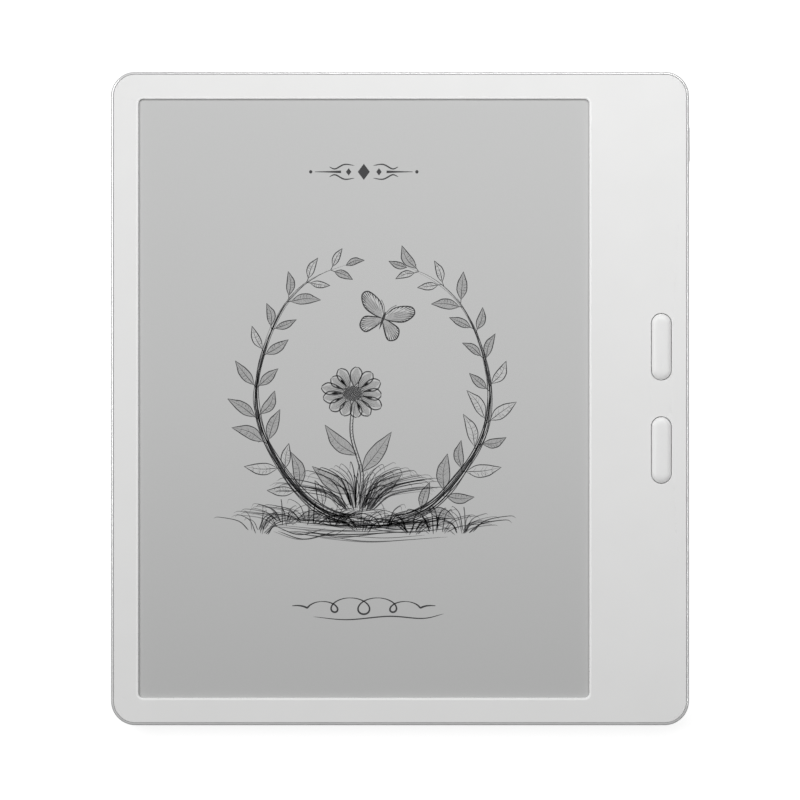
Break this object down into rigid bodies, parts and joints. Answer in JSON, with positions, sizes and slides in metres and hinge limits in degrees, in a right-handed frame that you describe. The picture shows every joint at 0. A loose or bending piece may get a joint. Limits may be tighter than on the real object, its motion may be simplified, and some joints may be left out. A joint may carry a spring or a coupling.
{
  "type": "e-reader",
  "caption": "Slim e-reader with a recessed e-paper screen, a wide grip side carrying page keys, a power key, a USB-C port, speaker holes and a card tray on the edge.",
  "frame": {"origin": "centre of the flat back face, which the reader lies on", "axes": "+X across the face towards the grip side, +Y up the face, +Z out of the screen"},
  "size_m": [0.1375, 0.1552, 0.0065],
  "materials": {
    "white_plastic": "fine matte moulded texture",
    "key_plastic": "satin",
    "epaper_surface": "anti-glare, paper-like",
    "display_glass": "matte backed glass",
    "clear_acrylic": "polished",
    "black_foam": "soft foam",
    "magnesium": "cast and machined",
    "circuit_board": "solder resist",
    "chip_black": "moulded",
    "flex_amber": "polyimide film",
    "foil": "smooth foil",
    "bright_steel": "nickel plated",
    "dark_mesh": "fine acoustic mesh",
    "connector_tan": "moulded",
    "epaper_ink": "dark pigment seen through the anti-glare film",
    "grey_pad": "soft silicone"
  },
  "bodies": {
    "housing": {"antenna_lead": "chip_black", "battery_adhesive": "black_foam", "battery_guard_board": "circuit_board", "battery_lead": "flex_amber", "battery_pack": "foil", "battery_plug": "connector_tan", "board_screw_1": "bright_steel", "board_screw_2": "bright_steel", "board_screw_3": "bright_steel", "board_screw_4": "bright_steel", "card_socket": "bright_steel", "carrier_screw_1": "bright_steel", "carrier_screw_2": "bright_steel", "carrier_screw_3": "bright_steel", "carrier_screw_4": "bright_steel", "carrier_screw_5": "bright_steel", "carrier_screw_6": "bright_steel", "cover_film": "epaper_surface", "cover_magnet_lower": "bright_steel", "cover_magnet_upper": "bright_steel", "display_carrier": "magnesium", "display_connector": "connector_tan", "display_flex": "flex_amber", "display_gasket": "black_foam", "epaper_panel": "display_glass", "front_bezel": "white_plastic", "frontlight_connector": "connector_tan", "frontlight_flex": "flex_amber", "frontlight_strip": "flex_amber", "hall_sensor": "chip_black", "light_guide": "clear_acrylic", "main_board": "circuit_board", "memory_chip": "chip_black", "microphone": "foil", "motion_sensor": "chip_black", "page_key_board": "circuit_board", "page_key_flex": "flex_amber", "page_switch_lower": "bright_steel", "page_switch_upper": "bright_steel", "power_chip": "chip_black", "power_switch": "foil", "processor_chip": "chip_black", "processor_shield": "foil", "rear_shell": "white_plastic", "speaker": "chip_black", "speaker_mesh": "dark_mesh", "storage_chip": "chip_black", "thermal_pad": "grey_pad", "touch_connector": "connector_tan", "touch_flex": "flex_amber", "usb_shell": "bright_steel", "usb_tongue": "chip_black", "wifi_antenna": "flex_amber", "wifi_module": "foil"},
    "page_button_upper": {"page_button_upper": "key_plastic"},
    "page_button_lower": {"page_button_lower": "key_plastic"},
    "power_button": {"power_button": "key_plastic"},
    "card_tray": {"card_tray": "white_plastic"}
  },
  "joints": [
    {"name": "page_button_upper_press", "type": "slide", "parent": "housing", "child": "page_button_upper", "axis": [0, 0, -1], "range_m": [0, 0.0003], "stiffness_N_per_m": 2000},
    {"name": "page_button_lower_press", "type": "slide", "parent": "housing", "child": "page_button_lower", "axis": [0, 0, -1], "range_m": [0, 0.0003], "stiffness_N_per_m": 2000},
    {"name": "power_button_press", "type": "slide", "parent": "housing", "child": "power_button", "axis": [-1, 0, 0], "range_m": [0, 0.00025], "stiffness_N_per_m": 2500},
    {"name": "card_tray_slide", "type": "slide", "parent": "housing", "child": "card_tray", "axis": [1, 0, 0], "range_m": [0, 0.0175]}
  ]
}
